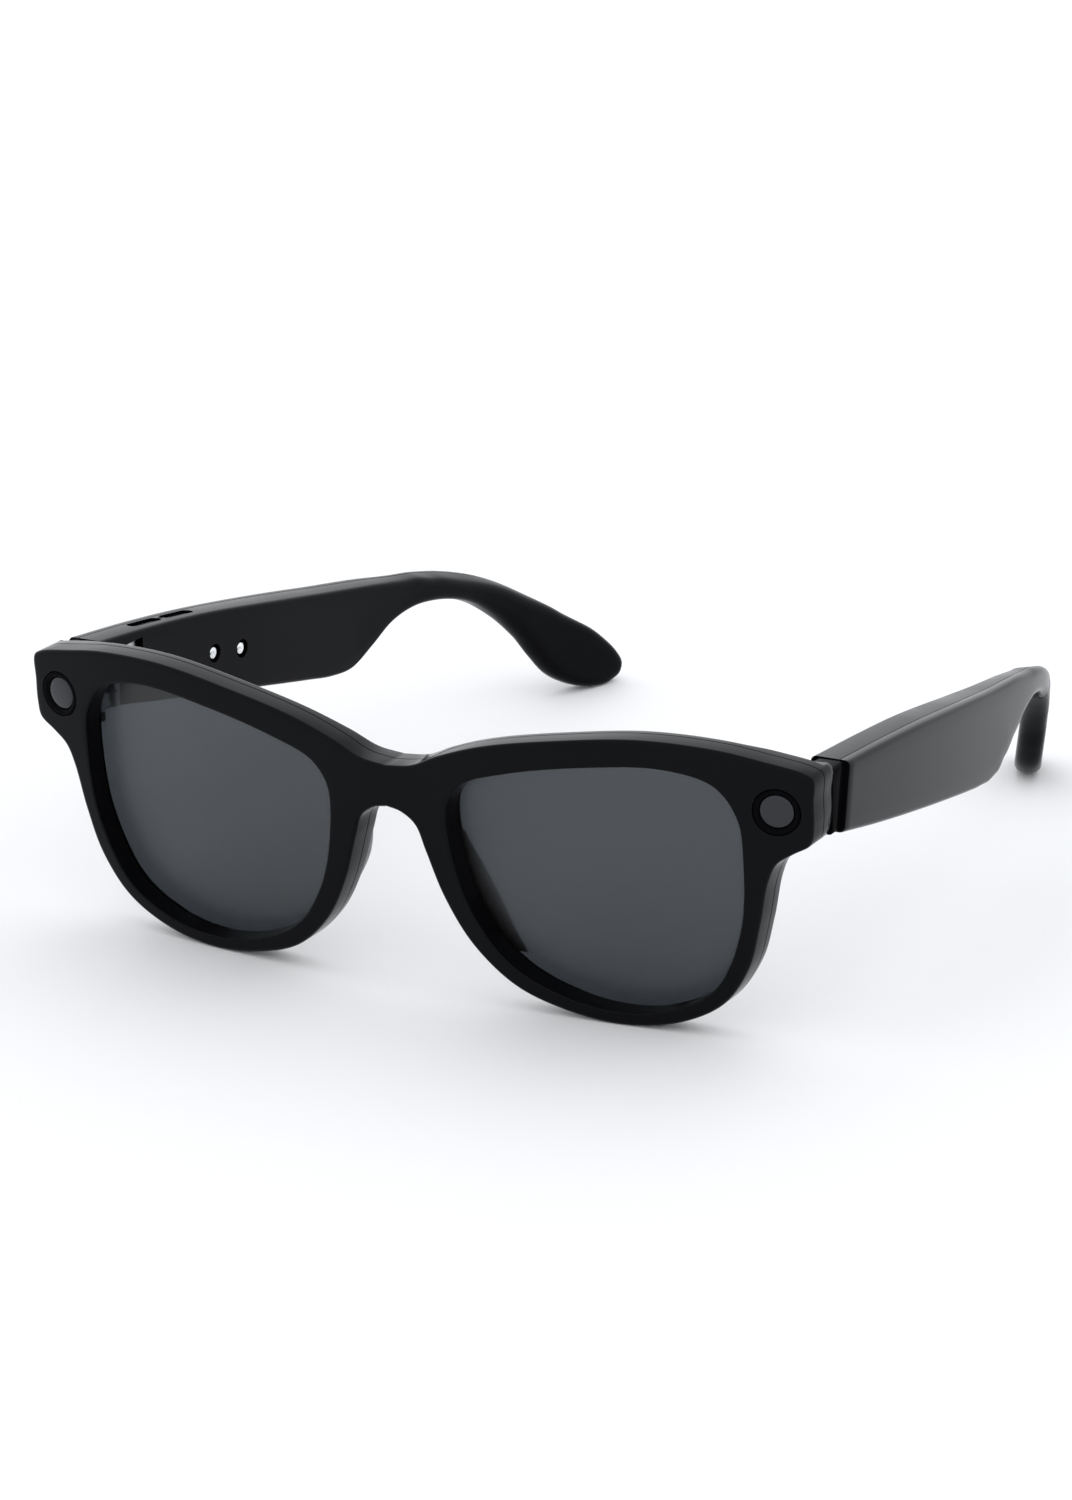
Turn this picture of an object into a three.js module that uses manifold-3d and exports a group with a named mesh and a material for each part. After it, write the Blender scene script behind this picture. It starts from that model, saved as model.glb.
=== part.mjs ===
// Smart glasses standing open on their rims and temple tips. Millimetres, +Z up.
// The lenses face -Y, the temples run to +Y, the wearer's right is -X.
// The origin is under the middle of the bounding box, on the surface the glasses stand on.
import * as THREE from "three";
import { mergeVertices, mergeGeometries } from "three/addons/utils/BufferGeometryUtils.js";
import Module from "manifold-3d";

const wasm = await Module();
wasm.setup();

// ---- driving dimensions ----
const MIDDLE_Y = 86.65; // from the bridge's front face to the middle of the box
const GAP = 0.3; // clearance between pieces that touch
const WRAP = 0.00137; // curvature of the front seen from above
const END_WRAP = 0.162; // extra wrap towards the endpieces, at 50 mm from the middle
const LEAN = 0.071; // how far the front leans back towards its lower edge
const BULGE = 0.84; // curvature of the front seen from the side, at 20 mm from mid height
const FACE_HEIGHT = 40; // height at which the lean and the bulge are zero

const BEZEL_DEPTH = 4; // front frame, front to back
const RIM_DEPTH = 6.2; // both frames together
const BRIDGE_EXTRA = 1.6; // extra depth behind the bridge
const LENS_THICKNESS = 1.1;
const LENS_LIP = 1; // how far the lens reaches under the bezel
const LIP_THICKNESS = 0.5; // rear lip that holds the lens

const EYE_X = 68.2; // camera and light, from the middle
const EYE_Z = 42.3;
const EYE_RADIUS = 3.9; // outside of the camera and light rings
const EYE_GLASS_RADIUS = 2.9;

const BLOCK_INNER_X = 64.5; // endpiece block that holds the hinge
const BLOCK_REAR_Y = 15.6;
const HINGE_X = 65.5;
const HINGE_Y = 19;
const HINGE_RADIUS = 1.5;
const PIN_RADIUS = 0.55;
const HINGE_LOW_Z = 37.2;
const HINGE_HIGH_Z = 46.2;
const KNUCKLE_LOW_Z = 40.2; // the temple's knuckle, between the two on the front
const KNUCKLE_HIGH_Z = 43.2;

const COVER_THICKNESS = 1.9; // outer cover of each temple
const TEMPLE_THICKNESS = 7; // at the hinge
const TIP_THINNING = 1.6; // how much thinner the ear hook is
const WALL = 1.2;
const TIP_CURL = 7.2; // how far the tip curls towards the head
const CURL_HEIGHT = 33;
// How far the left hook has been bent forwards and outwards, along y 106 to 162.
const BENT_FORWARD = 9;
const BENT_OUT = 0.8;
const TWIST = 0.2; // how far the hook turns about its own length
const HOOK_SOFTENING = 0.9; // extra bevel along the hook
const COVER_END = 0.62; // along the temple, 0 at the hinge and 1 at the tip
const HOLLOW_END = 0.43;
const TEMPLE_STEPS = 34;

const KEY_LENGTH = 8.4;
const KEY_WIDTH = 1.9;
const KEY_CENTRES_Y = [38, 47.8];
const CONTACT_RADIUS = 1.2;
const CONTACTS = [{ y: 54.4, z: 36.3 }, { y: 62.8, z: 34.9 }];

// ---- outlines ----
// Half of the front, from the top of the bridge round the rim to the nose arch: x, z.
const HALF_OUTLINE = [
  [0, 41.9], [4.8, 42.6], [10, 45], [18, 47.8], [30, 50.3], [45, 52.3], [58, 52], [66, 50.7],
  [72.6, 49.2], [74, 48.2], [74, 44], [74, 40], [73.4, 37], [70.4, 35], [67.8, 33], [66.3, 29.6],
  [64.6, 21.6], [62.2, 13.4], [57.3, 6.2], [49, 1.6], [39, 0], [29, 1.4], [20.9, 4.6], [14, 11.2],
  [9.5, 19.4], [6.7, 27.6], [5.1, 32], [2.6, 33.9], [0, 34.5],
];
const OPENING = [
  [49.5, 47.7], [58, 45.7], [61.7, 40.6], [62.5, 33], [61.4, 20.3], [56.3, 9], [48, 3.9],
  [39.5, 2.5], [30, 3.9], [20.4, 8.9], [14.3, 17.9], [11.5, 28.5], [11.4, 36.5], [14.3, 40.6],
  [22, 43.5], [35, 46.3],
];
const LENS_CENTRE = [37, 28];
// The flex cable's run over one lens, from the bridge to the endpiece: x, z.
const FLEX_RUN = [[0, 38.4], [7, 40.6], [14, 44.2], [22, 46.6], [32, 48.7], [45, 50.3], [55, 49.6], [62, 47.2]];

// Matching points along a temple's upper and lower edges: y, z.
const TEMPLE_TOP = [
  [20.4, 47.9], [36, 46.4], [52, 44.5], [68, 42.2], [82, 40], [91, 38.5], [99, 37.3], [107, 36.1],
  [114.8, 34.8], [123, 33.7], [131.4, 32], [139.8, 29.5], [147.7, 26], [155.5, 21], [162.9, 15.4],
  [168.8, 10.2], [172.2, 6.3], [173.4, 3.4], [172.2, 0.9],
];
const TEMPLE_BOTTOM = [
  [18.4, 36.2], [34, 32.8], [52, 29.1], [70, 25.5], [84, 22.7], [92.5, 21.1], [98.5, 20.9],
  [104.4, 23.3], [111, 26.4], [119, 27.8], [127.9, 27], [136.9, 24.1], [144.2, 19.2],
  [149.5, 13.8], [153, 8.8], [156.4, 4.6], [160.6, 1.8], [165, 0.3], [169.6, 0],
];

// How much shorter a temple is at its lower outer edge and its upper inner edge: y, distance.
const OUTER_LIFT = [
  [20, 0], [70, 0], [80, 0.05], [86, 0.3], [93, 1.1], [99, 2.6], [105, 2.4], [112, 1.4], [120, 0.5], [130, 0],
];
const INNER_DROP = [
  [50, 0], [85, 0.5], [113, 0.8], [121, 1.1], [128, 1.8], [138, 2.4], [150, 2.2], [160, 1.2], [168, 0],
];

// ---- materials ----
function plastic(color, roughness = 0.4) {
  return new THREE.MeshStandardMaterial({ color, roughness, metalness: 0 });
}
const LOOK = {
  frame: plastic(0x111318, 0.32),
  cover: plastic(0x14161b, 0.35),
  cap: plastic(0x060607, 0.15),
  lens: plastic(0x4a5054, 0.08),
  pad: plastic(0x15161a, 0.5),
  glass: plastic(0x0a0c10, 0.05),
  board: plastic(0x1d4a2e, 0.55),
  flex: plastic(0xb0702a, 0.5),
  foil: new THREE.MeshStandardMaterial({ color: 0x8d9096, roughness: 0.35, metalness: 0.9 }),
  steel: new THREE.MeshStandardMaterial({ color: 0xa9abad, roughness: 0.3, metalness: 1 }),
};

// ---- solids ----
function solidFrom(geometry) {
  const bare = geometry.clone();
  bare.deleteAttribute("normal");
  bare.deleteAttribute("uv");
  const merged = mergeVertices(bare, 1e-4);
  return new wasm.Manifold(new wasm.Mesh({
    numProp: 3,
    vertProperties: new Float32Array(merged.attributes.position.array),
    triVerts: new Uint32Array(merged.index.array),
  }));
}

function geometryOf(solid) {
  const mesh = solid.getMesh();
  const geometry = new THREE.BufferGeometry();
  geometry.setAttribute("position", new THREE.BufferAttribute(mesh.vertProperties, 3));
  geometry.setIndex(new THREE.BufferAttribute(mesh.triVerts, 1));
  const flat = geometry.toNonIndexed();
  flat.computeVertexNormals();
  return flat;
}

function quad(list, a, b, c, d) {
  list.push(a, b, c, a, c, d);
}

// A closed body from loops of equal length. A ring joins its last loop to its first;
// otherwise both end loops are filled.
function loft(loops, ring = false) {
  const count = loops[0].length;
  const points = loops.flat();
  const faces = [];
  const last = ring ? loops.length : loops.length - 1;
  for (let i = 0; i < last; i++) {
    const next = ((i + 1) % loops.length) * count;
    for (let k = 0; k < count; k++) {
      const k2 = (k + 1) % count;
      quad(faces, i * count + k, i * count + k2, next + k2, next + k);
    }
  }
  if (!ring) {
    const end = (loops.length - 1) * count;
    for (let k = 1; k < count - 1; k++) {
      faces.push(0, k + 1, k);
      faces.push(end, end + k, end + k + 1);
    }
  }
  const geometry = new THREE.BufferGeometry();
  geometry.setAttribute("position", new THREE.Float32BufferAttribute(points.flat(), 3));
  geometry.setIndex(faces);
  const solid = solidFrom(geometry);
  if (solid.volume() > 0) return solid;
  for (let i = 0; i < faces.length; i += 3) [faces[i], faces[i + 1]] = [faces[i + 1], faces[i]];
  geometry.setIndex(faces);
  return solidFrom(geometry);
}

function block(low, high) {
  const size = high.map((value, i) => value - low[i]);
  const middle = high.map((value, i) => (value + low[i]) / 2);
  return solidFrom(new THREE.BoxGeometry(...size).translate(...middle));
}

function post(x, y, z0, z1, radius, sides = 24) {
  const geometry = new THREE.CylinderGeometry(radius, radius, z1 - z0, sides);
  return solidFrom(geometry.rotateX(Math.PI / 2).translate(x, y, (z0 + z1) / 2));
}

function mirrored(solid) {
  return solid.mirror([1, 0, 0]);
}

// ---- the curved front ----
function frontY(x, z) {
  const rise = (z - FACE_HEIGHT) / 20;
  return WRAP * x * x + END_WRAP * (x / 50) ** 4 - LEAN * (z - FACE_HEIGHT) + BULGE * rise * rise;
}

function onFront([x, z], depth) {
  return [x, frontY(x, z) + depth - MIDDLE_Y, z];
}

function spline(points, closed = false) {
  const vectors = points.map(([a, b]) => new THREE.Vector3(a, b, 0));
  return new THREE.CatmullRomCurve3(vectors, closed, "centripetal");
}

function sampled(points, count, closed = false) {
  return spline(points, closed).getPoints(count).map((p) => [p.x, p.y]);
}

// Where the ray from the lens centre at an angle meets a closed outline.
function meet(outline, angle) {
  const [cx, cz] = LENS_CENTRE;
  const dir = [Math.cos(angle), Math.sin(angle)];
  let best = null;
  for (let i = 0; i < outline.length; i++) {
    const a = outline[i];
    const b = outline[(i + 1) % outline.length];
    const edge = [b[0] - a[0], b[1] - a[1]];
    const det = edge[0] * dir[1] - edge[1] * dir[0];
    if (Math.abs(det) < 1e-9) continue;
    const along = ((cx - a[0]) * dir[1] - (cz - a[1]) * dir[0]) / det;
    const reach = ((cx - a[0]) * edge[1] - (cz - a[1]) * edge[0]) / det;
    if (along < -1e-9 || along > 1 + 1e-9 || reach < 0) continue;
    if (!best || reach < best.reach) best = { reach, point: [cx + dir[0] * reach, cz + dir[1] * reach] };
  }
  return best.point;
}

const OUTLINE_CURVE = sampled(HALF_OUTLINE, 220);
const OPENING_CURVE = sampled(OPENING, 160, true);

// Angles of the rim's stations: even steps, and every point of the outline.
function stations() {
  const [cx, cz] = LENS_CENTRE;
  const angles = Array.from({ length: 56 }, (_, i) => (i * Math.PI * 2) / 56 - Math.PI);
  const corners = HALF_OUTLINE.map(([x, z]) => Math.atan2(z - cz, x - cx));
  const even = angles.filter((a) => corners.every((c) => Math.abs(a - c) > 0.03));
  return [...even, ...corners].sort((a, b) => a - b);
}
const ANGLES = stations();
const OUTER = ANGLES.map((a) => meet(OUTLINE_CURVE, a)).map(([x, z]) => [Math.abs(x) < 0.2 ? 0 : x, z]);
const INNER = ANGLES.map((a) => meet(OPENING_CURVE, a));

// A loop pushed away from the lens centre by a distance.
function grown(loop, distance) {
  return loop.map(([x, z]) => {
    const away = new THREE.Vector2(x - LENS_CENTRE[0], z - LENS_CENTRE[1]).normalize();
    return [x + away.x * distance, z + away.y * distance];
  });
}

function rearDepth(x) {
  return RIM_DEPTH + BRIDGE_EXTRA * Math.exp(-((x / 12) ** 2));
}

function lay(loop, depth) {
  return loop.map((p) => onFront(p, typeof depth === "function" ? depth(p[0]) : depth));
}

function bothHalves(half) {
  return half.add(mirrored(half));
}

function eyeFrame(side) {
  const step = 0.01;
  const slopeX = (frontY(EYE_X + step, EYE_Z) - frontY(EYE_X, EYE_Z)) / step;
  const slopeZ = (frontY(EYE_X, EYE_Z + step) - frontY(EYE_X, EYE_Z)) / step;
  const inward = new THREE.Vector3(-slopeX * side, 1, -slopeZ).normalize();
  const turn = new THREE.Quaternion().setFromUnitVectors(new THREE.Vector3(0, 1, 0), inward);
  const [x, y, z] = onFront([EYE_X, EYE_Z], 0);
  return new THREE.Matrix4().compose(new THREE.Vector3(x * side, y, z), turn, new THREE.Vector3(1, 1, 1));
}

// A round piece about the camera's or light's axis, between two depths behind the face.
function eyeDisc(side, radius, from, to, sides = 28) {
  const geometry = new THREE.CylinderGeometry(radius, radius, to - from, sides);
  return solidFrom(geometry.translate(0, (from + to) / 2, 0).applyMatrix4(eyeFrame(side)));
}

function eyeBox(side, half, from, to) {
  const geometry = new THREE.BoxGeometry(half * 2, to - from, half * 2);
  return solidFrom(geometry.translate(0, (from + to) / 2, 0).applyMatrix4(eyeFrame(side)));
}

function frontFrame() {
  const half = loft([lay(OUTER, 0), lay(OUTER, BEZEL_DEPTH), lay(grown(INNER, -0.1), BEZEL_DEPTH),
    lay(INNER, 0)], true);
  let frame = bothHalves(half);
  for (const side of [-1, 1]) frame = frame.subtract(eyeDisc(side, EYE_RADIUS + GAP, -3, 5));
  return frame;
}

// The flex cable's run as a strip between two depths.
function flexStrip(height, from, to) {
  const run = sampled(FLEX_RUN, 30);
  const whole = [...run.slice(1).reverse().map(([x, z]) => [-x, z]), ...run];
  const up = height / 2;
  return loft(whole.map(([x, z]) => [onFront([x, z + up], from), onFront([x, z + up], to),
    onFront([x, z - up], to), onFront([x, z - up], from)]));
}

// Outline of the block behind an endpiece that carries the hinge.
function endBlock() {
  const shape = [[BLOCK_INNER_X, 48.4], [72.3, 48.9], [73.7, 48.1], [73.95, 47.6], [73.95, 40],
    [73.35, 37.1], [70.4, 35.2], [BLOCK_INNER_X, 35.6]];
  const rear = shape.map(([x, z]) => [x, BLOCK_REAR_Y - MIDDLE_Y, z]);
  return loft([lay(shape, BEZEL_DEPTH + GAP + 0.5), rear]);
}

function rearFrame() {
  const front = BEZEL_DEPTH + GAP;
  const lip = (x) => rearDepth(x) - LIP_THICKNESS;
  const pocket = grown(INNER, LENS_LIP + GAP);
  const half = loft([lay(OUTER, front), lay(OUTER, rearDepth), lay(grown(INNER, 0.7), rearDepth),
    lay(grown(INNER, 0.4), lip), lay(pocket, lip), lay(pocket, front)], true);
  const hingeSlot = block([BLOCK_INNER_X - 2, 12.4 - MIDDLE_Y, HINGE_LOW_Z - GAP],
    [67.4, BLOCK_REAR_Y + 1 - MIDDLE_Y, HINGE_HIGH_Z + GAP]);
  let frame = bothHalves(half.add(endBlock()).subtract(hingeSlot));
  frame = frame.subtract(flexStrip(2, 2, front + 1.2));
  frame = frame.subtract(block([-2, -MIDDLE_Y, 36.2], [2, frontY(0, 38) + front + 2.1 - MIDDLE_Y, 40.2]));
  for (const side of [-1, 1]) frame = frame.subtract(eyeDisc(side, EYE_GLASS_RADIUS + GAP, 0, 5.7));
  return frame;
}

function lens() {
  const rim = grown(INNER, LENS_LIP);
  const face = (depth) => [0.02, 0.55, 1].map((scale) => lay(rim.map(([x, z]) => [
    LENS_CENTRE[0] + (x - LENS_CENTRE[0]) * scale, LENS_CENTRE[1] + (z - LENS_CENTRE[1]) * scale]), depth));
  const start = BEZEL_DEPTH + GAP;
  return loft([...face(start), ...face(start + LENS_THICKNESS).reverse()]);
}

// A pad behind the nose side of a rim, following the rim's edge.
function nosePad() {
  const edge = [[6.9, 28.4, 1.4], [7.9, 25, 3.4], [9.4, 21, 4.6], [11.4, 17, 4.5], [13.8, 13, 3.2], [16.2, 9.8, 1.2]];
  return loft(edge.map(([x, z, reach]) => {
    const inside = x + 0.7;
    const outside = x + 4;
    const start = frontY(x, z) + rearDepth(x) + GAP - MIDDLE_Y;
    return [[inside, start, z], [inside + 0.2, start + reach, z - 0.6], [outside - 1.2, start + reach, z - 0.6],
      [outside, start + 0.2, z]];
  }));
}

function eyeParts(side, names) {
  const ring = eyeDisc(side, EYE_RADIUS, 0.1, 1.5).subtract(eyeDisc(side, EYE_GLASS_RADIUS, -2, 4));
  return [
    [names.ring, ring, LOOK.cap],
    [names.window, eyeDisc(side, EYE_GLASS_RADIUS - GAP, 0.3, 1.1), LOOK.glass],
  ];
}

function hingeFixed() {
  const web = (z0, z1) => block([BLOCK_INNER_X + GAP, 12.7 - MIDDLE_Y, z0], [66.6, HINGE_Y - MIDDLE_Y, z1]);
  const low = KNUCKLE_LOW_Z - GAP;
  const high = KNUCKLE_HIGH_Z + GAP;
  const plate = block([BLOCK_INNER_X + GAP, 12.7 - MIDDLE_Y, HINGE_LOW_Z], [67.1, 16.6 - MIDDLE_Y, HINGE_HIGH_Z]);
  const y = HINGE_Y - MIDDLE_Y;
  return plate.add(web(HINGE_LOW_Z, low)).add(web(high, HINGE_HIGH_Z))
    .add(post(HINGE_X, y, HINGE_LOW_Z, low, HINGE_RADIUS)).add(post(HINGE_X, y, high, HINGE_HIGH_Z, HINGE_RADIUS))
    .subtract(post(HINGE_X, y, HINGE_LOW_Z - 1, HINGE_HIGH_Z + 1, PIN_RADIUS + GAP));
}

function hingePin() {
  const y = HINGE_Y - MIDDLE_Y;
  return post(HINGE_X, y, HINGE_LOW_Z - 0.2, HINGE_HIGH_Z + GAP, PIN_RADIUS)
    .add(post(HINGE_X, y, HINGE_HIGH_Z + GAP, HINGE_HIGH_Z + 0.9, HINGE_RADIUS - 0.2));
}

// ---- temples ----
const TOP_EDGE = spline(TEMPLE_TOP);
const BOTTOM_EDGE = spline(TEMPLE_BOTTOM);

function outerX(y, z) {
  const u = (y - 15) / 100;
  const plan = 75.1 - 2.34 * u - 4.64 * u * u - 0.85 * u ** 3;
  const low = THREE.MathUtils.clamp((CURL_HEIGHT - z) / CURL_HEIGHT, 0, 1) ** 1.3;
  return plan - TIP_CURL * low * THREE.MathUtils.clamp((y - 100) / 50, 0, 1);
}

function thickness(y) {
  return TEMPLE_THICKNESS - TIP_THINNING * THREE.MathUtils.smoothstep(y, 60, 125);
}

// A value along a list of places, level beyond its ends.
function valueAt(list, y) {
  const next = list.findIndex(([place]) => place > y);
  if (next === 0) return list[0][1];
  if (next < 0) return list[list.length - 1][1];
  const [y0, a] = list[next - 1];
  const [y1, b] = list[next];
  return THREE.MathUtils.lerp(a, b, THREE.MathUtils.smoothstep(y, y0, y1));
}

// One point of a temple: t along it, drop down from its upper edge, depth from its outer face.
function templePoint(t, fraction, inset, depth) {
  const top = TOP_EDGE.getPoint(t);
  const bottom = BOTTOM_EDGE.getPoint(t);
  const height = top.distanceTo(bottom);
  const inward = depth / thickness(top.x);
  const upper = inset + valueAt(INNER_DROP, top.x) * inward;
  const lower = height - inset - valueAt(OUTER_LIFT, top.x) * (1 - inward);
  const place = THREE.MathUtils.lerp(upper, lower, fraction) / height;
  const y = THREE.MathUtils.lerp(top.x, bottom.x, place);
  const z = THREE.MathUtils.lerp(top.y, bottom.y, place);
  const turned = TWIST * THREE.MathUtils.smoothstep(top.x, 125, 152) * (place - 0.5) * height;
  return [outerX(y, z) + turned - depth, y - MIDDLE_Y, z];
}

function depthAt(t, depth) {
  if (depth === "inner") return thickness(TOP_EDGE.getPoint(t).x);
  if (depth === "floor") return thickness(TOP_EDGE.getPoint(t).x) - WALL;
  return depth;
}

// A section across the temple with its edges bevelled on the outer or inner side.
function templeSection(t, from, to, inset, bevel) {
  const d0 = depthAt(t, from);
  const d1 = depthAt(t, to);
  const soft = HOOK_SOFTENING * THREE.MathUtils.smoothstep(TOP_EDGE.getPoint(t).x, 100, 135);
  const [cut, back] = bevel.map((size) => (size > 0.5 ? size + soft : size));
  return [
    templePoint(t, 0, inset, d0 + cut), templePoint(t, 0, inset + cut, d0),
    templePoint(t, 1, inset + cut, d0), templePoint(t, 1, inset, d0 + cut),
    templePoint(t, 1, inset, d1 - back), templePoint(t, 1, inset + back, d1),
    templePoint(t, 0, inset + back, d1), templePoint(t, 0, inset, d1 - back),
  ];
}

function templeRun(t0, t1, from, to, inset = 0, bevel = [0.6, 0.6], steps = 0) {
  const count = steps || Math.max(2, Math.round((t1 - t0) * TEMPLE_STEPS));
  const sections = [];
  for (let i = 0; i <= count; i++) {
    sections.push(templeSection(t0 + ((t1 - t0) * i) / count, from, to, inset, bevel));
  }
  return loft(sections);
}

// Where along the temple its upper edge reaches a distance y.
function along(y) {
  let low = 0;
  let high = 0.9;
  for (let i = 0; i < 40; i++) {
    const middle = (low + high) / 2;
    if (TOP_EDGE.getPoint(middle).x < y) low = middle;
    else high = middle;
  }
  return low;
}

function templeShell() {
  const inner = templeRun(0, 1, COVER_THICKNESS + GAP, "inner", 0, [0.05, 0.8]);
  const outer = templeRun(COVER_END + 0.004, 1, 0, COVER_THICKNESS + 1.5, 0, [0.8, 0.05]);
  const hollow = templeRun(along(34), HOLLOW_END, COVER_THICKNESS - 1, "floor", 1.5, [0.05, 0.3]);
  const hingePocket = block([66, 12 - MIDDLE_Y, 38], [70.4, 32.6 - MIDDLE_Y, 45.4]);
  return inner.add(outer).subtract(hollow).subtract(hingePocket);
}

// A left temple piece with its hook bent.
function bent(solid) {
  return solid.warp((p) => {
    const share = THREE.MathUtils.smoothstep(p[1] + MIDDLE_Y, 106, 162);
    p[0] += BENT_OUT * share;
    p[1] -= BENT_FORWARD * share;
  });
}

function templeCover() {
  return templeRun(0, COVER_END, 0, COVER_THICKNESS, 0, [0.7, 0.05]);
}

function endCap() {
  const section = (y0) => [[0.9, 0], [0.4, 0.06], [0.4, 0.94], [0.9, 1], [6.2, 1], [6.5, 0.95], [6.5, 0.05], [6.2, 0]]
    .map(([depth, fraction]) => {
      const [x, y, z] = templePoint(0, fraction, 0.5, depth);
      return [x, y0 === null ? y - GAP : y0 - MIDDLE_Y, z];
    });
  return loft([section(BLOCK_REAR_Y + GAP), section(null)]);
}

function hingeMoving() {
  const y = HINGE_Y - MIDDLE_Y;
  const arm = block([HINGE_X, HINGE_Y + 0.4 - MIDDLE_Y, KNUCKLE_LOW_Z], [69.6, 22.4 - MIDDLE_Y, KNUCKLE_HIGH_Z]);
  const plate = block([68.6, 21 - MIDDLE_Y, 38.6], [69.9, 31.8 - MIDDLE_Y, 44.8]);
  return post(HINGE_X, y, KNUCKLE_LOW_Z, KNUCKLE_HIGH_Z, HINGE_RADIUS).add(arm).add(plate)
    .subtract(post(HINGE_X, y, KNUCKLE_LOW_Z - 1, KNUCKLE_HIGH_Z + 1, PIN_RADIUS + GAP));
}

function flatPiece(y0, y1, from, to, inset) {
  return templeRun(along(y0), along(y1), from, to, inset, [0.02, 0.02], 1);
}

// A box through the temple's upper face at a distance y, in the temple's own slope.
function topBox(y, length, width, above, below) {
  const [x, , z] = templePoint(along(y), 0, 0, 3.6);
  const slope = (TOP_EDGE.getPoint(along(y + 4)).y - TOP_EDGE.getPoint(along(y - 4)).y) / 8;
  const swing = (outerX(y + 4, z) - outerX(y - 4, z)) / 8;
  const geometry = new THREE.BoxGeometry(width, length, above + below).translate(0, 0, (above - below) / 2);
  geometry.rotateX(Math.atan(slope)).rotateZ(-Math.atan(swing));
  return solidFrom(geometry.translate(x, y - MIDDLE_Y, z));
}

// A round piece through the temple's inner wall.
function wallPeg(y, z, radius, from, to) {
  const x = outerX(y, z);
  const geometry = new THREE.CylinderGeometry(radius, radius, to - from, 20).rotateZ(Math.PI / 2);
  return solidFrom(geometry.translate(x - (from + to) / 2, y - MIDDLE_Y, z));
}

// The speaker's mouth in the temple's lower edge.
function mouth(length, width, out, into) {
  const t = along(84);
  const [x, y, z] = templePoint(t, 1, 0, 4.2);
  const geometry = new THREE.BoxGeometry(width, length, out + into).translate(0, 0, (into - out) / 2);
  return solidFrom(geometry.rotateX(-0.19).rotateZ(0.08).translate(x, y, z));
}

function keyedShell() {
  let shell = templeShell();
  for (const y of KEY_CENTRES_Y) shell = shell.subtract(topBox(y, KEY_LENGTH + 0.6, KEY_WIDTH + 0.6, 2, 3));
  shell = shell.subtract(topBox(42.9, 0.9, 0.9, 2, 3));
  for (const { y, z } of CONTACTS) shell = shell.subtract(wallPeg(y, z, CONTACT_RADIUS + GAP, 3, 9));
  return shell;
}

function commonTempleParts(side) {
  return [
    [`temple_cover_${side}`, templeCover(), LOOK.cover],
    [`temple_end_cap_${side}`, endCap(), LOOK.cap],
    [`hinge_leaf_temple_${side}`, hingeMoving(), LOOK.steel],
    [`battery_${side}`, flatPiece(65, 80, 3, 3.9, 3), LOOK.foil],
    [`speaker_${side}`, flatPiece(82.5, 92, 2.7, 3.9, 4), LOOK.cap],
    [`speaker_mesh_${side}`, mouth(7.4, 1.2, -0.2, 0.9), LOOK.steel],
    [`touch_flex_${side}`, flatPiece(40, 62, 2.3, 2.5, 4), LOOK.flex],
  ];
}

const MOUTH_CUT = () => mouth(8, 1.8, 1, 4);

function rightTempleParts() {
  const shell = keyedShell().subtract(MOUTH_CUT());
  const keys = KEY_CENTRES_Y.map((y, i) => [["key_front", "key_rear"][i],
    topBox(y, KEY_LENGTH, KEY_WIDTH, -0.15, 1.25), LOOK.cap]);
  const contacts = CONTACTS.map(({ y, z }, i) => [["charging_contact_front", "charging_contact_rear"][i],
    wallPeg(y, z, CONTACT_RADIUS, 4.7, thickness(y) - 0.2), LOOK.steel]);
  const switches = KEY_CENTRES_Y.map((y, i) => [["key_switch_front", "key_switch_rear"][i],
    topBox(y, 3, KEY_WIDTH - 0.4, -1.9, 2.7), LOOK.steel]);
  return [
    ["temple_shell_right", shell, LOOK.frame],
    ...commonTempleParts("right"), ...keys, ...switches, ...contacts,
    ["status_light", topBox(42.9, 0.6, 0.6, -0.1, 1), LOOK.glass],
    ["main_board", flatPiece(36, 63, 3.1, 4.1, 4.2), LOOK.board],
  ];
}

function leftTempleParts() {
  return [
    ["temple_shell_left", templeShell().subtract(MOUTH_CUT()), LOOK.frame],
    ...commonTempleParts("left"),
    ["support_board", flatPiece(36, 63, 3.1, 4.1, 4.2), LOOK.board],
  ];
}

// ---- assembly ----
function add(group, [name, solid, material], flip = false) {
  const mesh = new THREE.Mesh(geometryOf(flip ? mirrored(solid) : solid), material);
  mesh.name = name;
  group.add(mesh);
}

function frontParts() {
  const bridgeMicY = frontY(0, 38) + BEZEL_DEPTH + GAP - MIDDLE_Y;
  return [
    ["front_frame", frontFrame(), LOOK.frame],
    ["rear_frame", rearFrame(), LOOK.frame],
    ["flex_cable", flexStrip(1.3, BEZEL_DEPTH + GAP, BEZEL_DEPTH + GAP + 0.4), LOOK.flex],
    ["nose_microphone", block([-1.4, bridgeMicY + 0.7, 36.6], [1.4, bridgeMicY + 1.8, 39.8]), LOOK.foil],
    ...eyeParts(-1, { ring: "camera_ring", window: "camera_window" }),
    ...eyeParts(1, { ring: "light_ring", window: "light_window" }),
    ["camera_lens", eyeDisc(-1, 1.8, 1.4, 2.9, 28), LOOK.glass],
    ["camera_module", eyeBox(-1, 1.9, 3.2, 5.4), LOOK.foil],
    ["light_board", eyeBox(1, 1.9, 2.4, 3.2), LOOK.board],
  ];
}

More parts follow.
